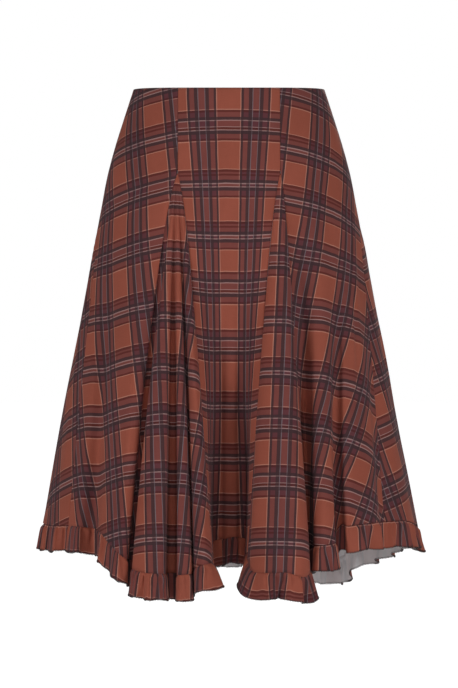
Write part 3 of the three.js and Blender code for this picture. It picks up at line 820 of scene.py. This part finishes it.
def cotton(name, back):
    made, shader, start = new_material(name)
    lay = start.node("Attribute", {"attribute_name": "cut"}, output=1)
    parts = start.node("SeparateXYZ", inputs={0: lay}).socket.node
    over, under = (Dye(parts.outputs[i]) * 1000 for i in range(2))
    wander = start.node("TexNoise", inputs={"Vector": lay, "Scale": 60.0, "Detail": 2.0})
    check = check_colour(over + wander * stripe_wander, under + wander * stripe_wander)
    printed = start.node("VectorMath", {"operation": "MULTIPLY"}, {0: check, 1: check})
    streaks = []
    for stretch in yarn_streaks:
        place = start.node("VectorMath", {"operation": "MULTIPLY"}, {0: lay, 1: stretch})
        streaks.append(start.node("TexNoise", inputs={"Vector": place, "Scale": 1.0, "Detail": 1.0}))
    streak = (streaks[0] + streaks[1]) * 0.5
    patches = start.node("TexNoise", inputs={"Vector": lay, "Scale": 14.0, "Detail": 3.0})
    shade = streak * streak_shade + patches * patch_shade + least_shade
    dyed = start.node("VectorMath", {"operation": "SCALE"}, {0: printed, "Scale": shade})
    if back:
        dyed = start.node("Mix", {"data_type": "RGBA"}, {0: show_through, 6: bare_cotton, 7: dyed}, 2)
    ribs = start.maths("SINE", (over + under) * (2 * math.pi / rib_pitch))
    relief = ribs * 0.5 + streak
    bump = start.node("Bump", inputs={"Height": relief, "Strength": 0.35, "Distance": 0.00015})
    connect(shader, Base_Color=dyed, Roughness=streak * 0.16 + 0.78, Normal=bump)
    shader.inputs["Specular IOR Level"].default_value = 0.15
    shader.inputs["Sheen Weight"].default_value = 0.05
    shader.inputs["Sheen Roughness"].default_value = 0.5
    return made


face_cotton = cotton("printed cotton, face", back=False)
back_cotton = cotton("printed cotton, back", back=True)
print("nodes in the cloth's material:", len(face_cotton.node_tree.nodes))

# %% [markdown]
# ## How each piece is cut
# The cutter turns and moves each piece on the printed cloth. `grain` is the share across the
# piece where the length of the cloth runs straight down, `lean` the turn of the cloth there in
# degrees, `across` what part of the repeat lies there, and `down` how far below the piece's top
# the middle of a first kind of group lies. `sag` is how many times deeper than the cut's own arcs
# the crosswise threads hang at the sides, where the cloth has dropped on the bias. `draw` is how
# much closer the lengthwise stripes lie halfway down, where small ripples take up the width.

# %% Lay the pieces on the cloth
lays = {
    "panel_back_centre_left": {"grain": 0.0, "lean": 0, "across": 0, "down": 45},
    "godet_back_left": {"grain": 0.5, "lean": 0, "across": 20, "down": 15},
    "panel_back_left": {"grain": 0.5, "lean": 2, "across": 30, "down": 50},
    "godet_side_left": {"grain": 0.5, "lean": -22, "across": 66, "down": -23},
    "panel_front_left": {"grain": 0.75, "lean": -12, "across": 20, "down": 217},
    "godet_front_left": {"grain": 0.4, "lean": -0.5, "across": -6, "down": 113},
    "panel_front_centre": {"grain": 0.5, "lean": 0, "across": 0, "down": 53, "sag": 4,
                           "draw": 0.42},
    "godet_front_right": {"grain": 0.5, "lean": 3.5, "across": 14.5, "down": 119},
    "panel_front_right": {"grain": 0.25, "lean": 13, "across": -10, "down": 8},
    "godet_side_right": {"grain": 0.5, "lean": -8, "across": 24, "down": 52},
    "panel_back_right": {"grain": 0.5, "lean": -2, "across": 30, "down": 50},
    "godet_back_right": {"grain": 0.5, "lean": 0, "across": 20, "down": 15},
    "panel_back_centre_right": {"grain": 1.0, "lean": 0, "across": 0, "down": 45},
}
print("pieces laid on the cloth:", len(lays))

# %% [markdown]
# ## The panels and godets
# Each piece's shell is built on its grid and rides on the skirt's body. The flat piece is
# measured from the grid: its width is the longest row, its length the longest way down, and its
# area the sum of its rows.

# %% Sew the panels and godets
cloth_thick = 0.8


def stand_for(made, name):
    """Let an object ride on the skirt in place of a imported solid."""
    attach(made, "skirt")
    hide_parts(name)


def cut_of(point, godet):
    """The width and length of the flat piece, its area, and how far its arcs' centre lies above."""
    widths = lengths_along(point, 1)[:, -1]
    length = lengths_along(point, 0).max(axis=1)
    area = np.sum((widths[1:] + widths[:-1]) / 2 * np.diff(length))
    radius = 1.0 if godet else widths[0] * length[-1] / (widths[-1] - widths[0])
    return widths.max() * mm, length[-1] * mm, area * mm * mm, radius


for piece in pieces:
    point, outward = cloth_grid(piece)
    width, length, area, radius = cut_of(point, piece["godet"])
    under = point.copy()
    under[..., :2] -= outward * cloth_thick
    cut = cut_places(point, radius=radius, **lays[piece["name"]])
    made = shell_object("cloth_" + piece["name"], point * mm, under * mm, cut,
                        [face_cotton, back_cotton])
    stand_for(made, piece["name"])
    piece["cut"] = (width, length, area)
    print(f"{piece['name']}: {width * 1000:.0f} x {length * 1000:.0f} mm, {area:.4f} m2")

for number, piece in enumerate(pieces):
    width, length, area = piece["cut"]
    beside = [pieces[number - 1]["name"], pieces[(number + 1) % len(pieces)]["name"]]

# %% [markdown]
# ## The ruffle's waves
# A ruffle is a strip that is longer than the edge it is sewn to. The stitches hold its fullness
# in small crisp pleats, which open into broader waves further down. A wave is a sine along the
# hem whose beat and height wander, so that no two waves are alike. Twice the beat makes crests
# broad and hollows narrow, like a bell, and adds some smaller waves between them.

# %% Shape the waves
ruffle_waves = 60
bell_share = 0.25            # of a wave's height
small_share = 0.35           # the height of the smaller waves beside the broad ones


def lap_of(place):
    """A place as an angle, where one lap is the whole hem."""
    return place / hem_length * 2 * math.pi


def ruffle_beat(place):
    lap = lap_of(place)
    return ruffle_waves * lap + 1.1 * np.sin(5 * lap) + 1.3 * np.sin(13 * lap + 1)


def ruffle_swing(place):
    """How far the ruffle's lower edge swings out of the hem's line."""
    lap, beat = lap_of(place), ruffle_beat(place)
    height = 0.85 + 0.25 * np.sin(7 * lap + 2) + 0.15 * np.sin(17 * lap)
    broad = height * np.sin(beat) + bell_share * np.cos(2 * beat)
    small = small_share * np.sin(2 * beat + 3 * np.sin(6 * lap + 1))
    return hem_wave(place) * (broad + small) + hem_kick(place)


print(f"the widest swing: {ruffle_swing(np.arange(0, hem_length)).max():.1f} mm")

# %% [markdown]
# ## A strip of ruffle
# Each column of a strip hangs from the seam and swings out more and more. It also sways sideways,
# which folds a wave onto itself. Pleats come in just below the seam and fade further down. A strip
# keeps its cut height, so where it stands out its lower edge rises.

# %% Hang a strip
ruffle_height = 35
ruffle_rows = 15
ruffle_column = 1.5          # from one column of points to the next
rows_behind_hem = [-0.16, -0.05]    # shares of the height above the seam
ruffle_set_back = 1.3        # the strip comes out from under the skirt's edge ...
set_back_reach = 2.5         # ... within this much of its height
ruffle_sway = 6.5
calm_wave = 4                # lower waves than this have less sway and smaller pleats
pleat_out, pleat_aside = 2.2, 2.0
pleat_start, pleat_end = 0.1, 0.7    # shares of the height over which they come in and fade
uneven_edge = 0.03           # of the height


def ruffle_grid(start, end):
    """The outside of a strip of ruffle, in millimetres."""
    columns = round((end - start) / ruffle_column)
    at = np.linspace(start + seam_gap / 2, end - seam_gap / 2, columns)
    down = np.concatenate([rows_behind_hem, np.linspace(0, 1, ruffle_rows)])[:, None]
    hanging = np.clip(down, 0, 1)
    lap, beat = lap_of(at), ruffle_beat(at)
    along = along_surface(at, hem_drop(at))
    calm = np.clip(hem_wave(at) / calm_wave, 0.15, 1)
    pleat = np.sin(3 * beat + 2.5 * np.sin(11 * lap) + 1.5 * np.sin(31 * lap)) * calm
    pleat = pleat * bell(hanging, pleat_end) * (1 - bell(hanging, pleat_start))
    low_swing = ruffle_swing(at)
    swing = low_swing * hanging ** 0.8 + pleat_out * pleat
    swing = swing - ruffle_set_back * bell(hanging * ruffle_height, set_back_reach)
    lean = np.clip(1.2 * np.sin(4 * lap + 0.7) + 0.7 * np.sin(9 * lap), -1, 1)
    sway = ruffle_sway * lean * np.sin(beat) * hanging ** 1.2 * calm + pleat_aside * pleat
    hem = np.stack([hem_x(at), hem_y(at), -hem_drop(at)], -1)
    point = np.repeat(hem[None], len(down), axis=0)
    point[..., :2] += out_of(along) * swing[..., None] + along * sway[..., None]
    rise = np.sqrt(1 - (low_swing / ruffle_height) ** 2)
    point[..., 2] -= ruffle_height * down * rise * (1 + uneven_edge * np.sin(beat + 1) * calm)
    return point


print("points down a strip:", len(rows_behind_hem) + ruffle_rows)

# %% [markdown]
# ## The strips
# The strips are joined end to end below seams of the skirt. The back of each strip is set off
# square to the strip itself, since its folds face every way. Its check runs along the strip, and
# the gathering makes the strip longer than the grid's middle row.

# %% Gather the strips
ruffle_thick = 0.35          # thinner than the skirt's shell, so that close folds keep apart
gathered = 1.25
strips = {  # the first and the last piece of cloth above each strip, and how its check lies
    "ruffle_back_centre_left": ("panel_back_centre_left", "godet_back_left", 0, -26),
    "ruffle_back_left": ("panel_back_left", "godet_side_left", 30, -14),
    "ruffle_front_left": ("panel_front_left", "godet_front_left", 10, -22),
    "ruffle_front_centre": ("panel_front_centre", "godet_front_right", 0, -31),
    "ruffle_front_right": ("panel_front_right", "godet_side_right", 50, -14),
    "ruffle_back_right": ("panel_back_right", "godet_back_right", 20, -20),
    "ruffle_back_centre_right": ("panel_back_centre_right", "panel_back_centre_right", 60, -26),
}
by_name = {piece["name"]: piece for piece in pieces}
ruffles = {}
for name, (first, last, across, down) in strips.items():
    point = ruffle_grid(by_name[first]["start"], by_name[last]["end"])
    onward = unit(np.gradient(point[..., :2], axis=1))
    under = point.copy()
    under[..., :2] -= out_of(onward) * ruffle_thick
    run = lengths_along(point, 1)
    below = lengths_along(point, 0)
    middle = np.broadcast_to(run[len(run) // 2] * gathered + across, run.shape)
    cut = np.stack([middle, below - down, 0 * run], -1) * mm
    made = shell_object("cloth_" + name, point * mm, under * mm, cut, [face_cotton, back_cotton])
    stand_for(made, name)
    ruffles[name] = (made, point)

# %% [markdown]
# ## Small materials
# Thread, ribbon and enamel need little: one pattern in the object's own space blends two colours,
# and also roughens and bumps the surface. On the yarn the darker colour is painted shade between
# its fibres, where the same pattern sinks the bump. The zip's tapes are woven in bands, and its
# metal has satin enamel in a colour near the cloth's.

# %% Make the thread, the ribbon and the enamel
def small_material(name, texture, settings, scale, colours, roughness, bump):
    """A material from one texture. Roughness runs between two values, as the colour does."""
    made, shader, start = new_material(name)
    place = start.node("TexCoord", output=3)
    pattern = start.node(texture, settings, {"Vector": place, **scale})
    dark, light = ((*colour, 1) for colour in colours)
    strength, distance = bump
    height = {"Height": pattern, "Strength": strength, "Distance": distance}
    relief = start.node("Bump", inputs=height)
    rough = pattern * (roughness[1] - roughness[0]) + roughness[0]
    connect(shader, Base_Color=pattern.blend(dark, light), Roughness=rough, Normal=relief)
    return made, shader


def yarn(name, colour):
    # painted shade: the yarn is darker where the same noise sinks its bump, between the fibres
    fibre_gap_shade = tuple(0.6 * part for part in colour)
    made, shader = small_material(name, "TexNoise", {}, {"Scale": 900.0, "Detail": 1.0},
                                  (fibre_gap_shade, colour), (0.5, 0.7), (0.3, 0.0001))
    shader.inputs["Sheen Weight"].default_value = 0.2
    return made


edge_thread = yarn("overlock thread", (0.045, 0.02, 0.018))
coil_nylon = yarn("zip coil", (0.11, 0.055, 0.045))
tape_cloth, _ = small_material(
    "zip tape", "TexWave", {"bands_direction": "Z"}, {"Scale": 700.0, "Distortion": 0.6},
    ((0.045, 0.022, 0.018), (0.085, 0.043, 0.035)), (0.75, 0.85), (0.4, 0.0002))
zip_paint, _ = small_material(
    "painted zip metal", "TexNoise", {}, {"Scale": 600.0, "Detail": 3.0},
    ((0.10, 0.04, 0.03), (0.17, 0.075, 0.058)), (0.4, 0.65), (0.15, 0.0001))
print("materials so far:", len(bpy.data.materials))

# %% [markdown]
# ## Winding thread
# A thread is a tube swept along a line: a ring of points stands square to the line at each step.
# Wound round an edge, the line is a helix.

# %% Sweep a tube and wind a helix
never_ahead = (0.13, 0.21, 0.97)     # a direction that no thread runs in


def tube(name, line, radius, sides, material):
    """A round thread along a line of points, in metres."""
    ahead = unit(np.gradient(line, axis=0))
    aside = unit(np.cross(ahead, never_ahead))
    upward = np.cross(aside, ahead)
    turns = np.linspace(0, 2 * math.pi, sides, endpoint=False)[None, :, None]
    ring = line[:, None] + radius * (aside[:, None] * np.cos(turns) + upward[:, None] * np.sin(turns))
    index = np.arange(len(line) * sides).reshape(len(line), sides)
    beside = np.roll(index, -1, axis=1)
    faces = np.stack([index[:-1], beside[:-1], beside[1:], index[1:]], -1).reshape(-1, 4).tolist()
    faces += [index[0, ::-1].tolist(), index[-1].tolist()]
    return mesh_object(name, ring.reshape(-1, 3).tolist(), faces, [material])


def helix_round(line, outward, pitch, radius_out, radius_up, steps):
    """A helix wound round a line of points: `outward` and Z span each turn."""
    run = np.insert(np.cumsum(np.linalg.norm(np.diff(line, axis=0), axis=1)), 0, 0)
    turns = run[-1] / pitch
    at = np.linspace(0, run[-1], round(turns * steps))
    middle = np.stack([np.interp(at, run, line[:, i]) for i in range(3)], -1)
    out = np.stack([np.interp(at, run, outward[:, i]) for i in range(2)], -1)
    angle = 2 * math.pi * at / pitch
    middle[:, :2] += out * (radius_out * np.cos(angle))[:, None]
    middle[:, 2] += radius_up * np.sin(angle)
    return middle

# %% [markdown]
# ## The overlocked edge
# The ruffle's lower edge is overlocked: thread runs over and under the raw edge in narrow loops.
# Winding it as real geometry gives each loop its own height and shadow.

# %% Wind the edge thread
stitch_length = 2.2 * mm
stitch_out, stitch_up = 0.7 * mm, 1.3 * mm     # how far a loop reaches out and up
stitch_lift = 0.4 * mm                         # the loops' middle lies above the raw edge
thread_radius = 0.32 * mm
for name, (ruffle, point) in ruffles.items():
    edge = point[-1] * mm
    outward = out_of(unit(np.gradient(edge[:, :2], axis=0)))
    edge[:, :2] -= outward * cloth_thick / 2 * mm
    edge[:, 2] += stitch_lift
    line = helix_round(edge, outward, stitch_length, stitch_out, stitch_up, steps=8)
    thread = tube("overlock_" + name, line, thread_radius, 4, edge_thread)
    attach(thread, "skirt")
print("overlocked strips:", len(ruffles))

# %% [markdown]
# ## The concealed zip
# Down centre back two tapes lie inside the opening, each with a coil of nylon along its edge. A
# tape follows the cloth's surface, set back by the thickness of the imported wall. The slider and
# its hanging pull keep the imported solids, since those have the real shape.

# %% Set in the zip
tape_width = 13.0
tape_inset = 1.0
tape_thick = 0.8
tape_columns, tape_rows = 7, 46
wall_thick = 1.5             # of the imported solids
zip_end_share = 0.15         # how far down from the tips' level to the hem the zip ends
coil_radius = 1.0
coil_pitch = 1.5
coil_start = 4               # the row of the tape where the coil starts, below the slider
centre_back_drop = hem_rows[0][2]
zip_low = princess_tip + zip_end_share * (centre_back_drop - princess_tip)

for name, piece, side in (("zip_tape_left", pieces[0], 1), ("zip_tape_right", pieces[-1], -1)):
    distance = np.linspace(tape_inset, tape_width, tape_columns) * side
    edge = piece["start"] if side == 1 else hem_length - short_of_end
    place = edge + distance * (piece["end"] - piece["start"]) / princess_back
    place = place if side == 1 else place[::-1]
    drop = np.linspace(waist_dip + 1, zip_low, tape_rows)[:, None] + 0 * place
    place = np.broadcast_to(place, drop.shape)
    outward = out_of(along_surface(place, drop))
    point = surface_point(place, drop)
    point[..., :2] -= outward * (wall_thick + seam_gap)
    under = point.copy()
    under[..., :2] -= outward * tape_thick
    run = lengths_along(point, 1)
    below = lengths_along(point, 0)
    cut = np.stack([run, below, 0 * run], -1) * mm
    tape = shell_object("cloth_" + name, point * mm, under * mm, cut, [tape_cloth, tape_cloth])
    stand_for(tape, name)
    inner = 0 if side == 1 else -1
    line = under[coil_start:-1, inner] * mm
    facing = outward[coil_start:-1, inner]
    line[:, :2] -= facing * coil_radius * mm
    coil = helix_round(line, facing, coil_pitch * mm, coil_radius * mm, 0.35 * mm, steps=8)
    wound = tube("coil_" + name, coil, 0.3 * mm, 5, coil_nylon)
    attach(wound, "skirt")

for name in ("zip_slider", "zip_pull"):
    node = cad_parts[name]
    if not node.material_slots:
        node.data.materials.append(zip_paint)
    for slot in node.material_slots:
        slot.material = zip_paint
print("zip tapes and coils: 2 of each")

# %% [markdown]
# ## Light
# The studio is pale to the camera and nearly dark to everything else, so that the deep recesses
# stay dark. Large soft lamps stand in front, to both sides and behind. The side lamps are
# stronger than the front one, since light from the side draws out the folds. The standard view
# keeps the cloth's colours as they are charted.

# %% Light the scene
bpy.context.scene.view_settings.view_transform = "Standard"
studio = bpy.data.worlds.new("studio")
studio.use_nodes = True
background = studio.node_tree.nodes["Background"]
background.inputs["Color"].default_value = (1, 1, 1, 1)
seen = Dye(background.outputs[0]).node("LightPath")
ambient = 0.07
studio.node_tree.links.new((seen * (1 - ambient) + ambient).socket, background.inputs["Strength"])
bpy.context.scene.world = studio
skirt_middle = np.array([0, 0, -0.35])


def soft_lamp(name, place, size, power):
    """A soft box at a place, turned towards the middle of the skirt."""
    lamp = bpy.data.lights.new(name, "AREA")
    lamp.shape = "RECTANGLE"
    lamp.size, lamp.size_y = size
    lamp.energy = power
    made = bpy.data.objects.new(name, lamp)
    made.location = place
    towards = skirt_middle - np.array(place)
    across = math.atan2(towards[0], -towards[1])
    made.rotation_euler = (math.atan2(math.hypot(*towards[:2]), -towards[2]), 0, across + math.pi)
    bpy.context.scene.collection.objects.link(made)
    return made


soft_lamp("front lamp", (0.1, -3.7, 0.6), (1.0, 1.4), 22)
soft_lamp("left lamp", (-2.75, -2.3, 0.3), (1.0, 1.4), 38)
soft_lamp("right lamp", (2.75, -2.3, 0.3), (1.0, 1.4), 36)
soft_lamp("back lamp", (0.6, 3.2, 0.8), (1.4, 1.8), 80)
print("lamps:", len(bpy.data.lights))

# %% [markdown]
# ## Floor
# The floor lies well below the hem and takes only a faint shadow. A lit floor looks nearly white,
# as in a studio, yet it has to send only soft light back up. A Light Path node tells the camera's
# rays from the others, so the floor can glow for the camera alone.

# %% Lay the floor
floor_reach, floor_height = 30.0, -0.95
floor_paint, floor_shader, floor_start = new_material("floor paint")
speckle = floor_start.node("TexNoise", inputs={"Scale": 3.0})
connect(floor_shader, Base_Color=speckle.blend((0.84, 0.84, 0.84, 1), (0.88, 0.88, 0.88, 1)))
floor_shader.inputs["Roughness"].default_value = 0.9
glow = floor_start.node("Emission", inputs={"Strength": 1.3})
to_camera = floor_start.node("LightPath") * 0.8
lit = floor_start.node("MixShader", inputs={0: to_camera, 1: floor_start, 2: glow})
floor_out = floor_paint.node_tree.nodes["Material Output"].inputs["Surface"]
floor_paint.node_tree.links.new(lit.socket, floor_out)
corners = [(x * floor_reach, y * floor_reach, floor_height)
           for x, y in ((-1, -1), (1, -1), (1, 1), (-1, 1))]
floor = mesh_object("floor", corners, [(0, 1, 2, 3)], [floor_paint])
print("the floor's height:", floor_height)
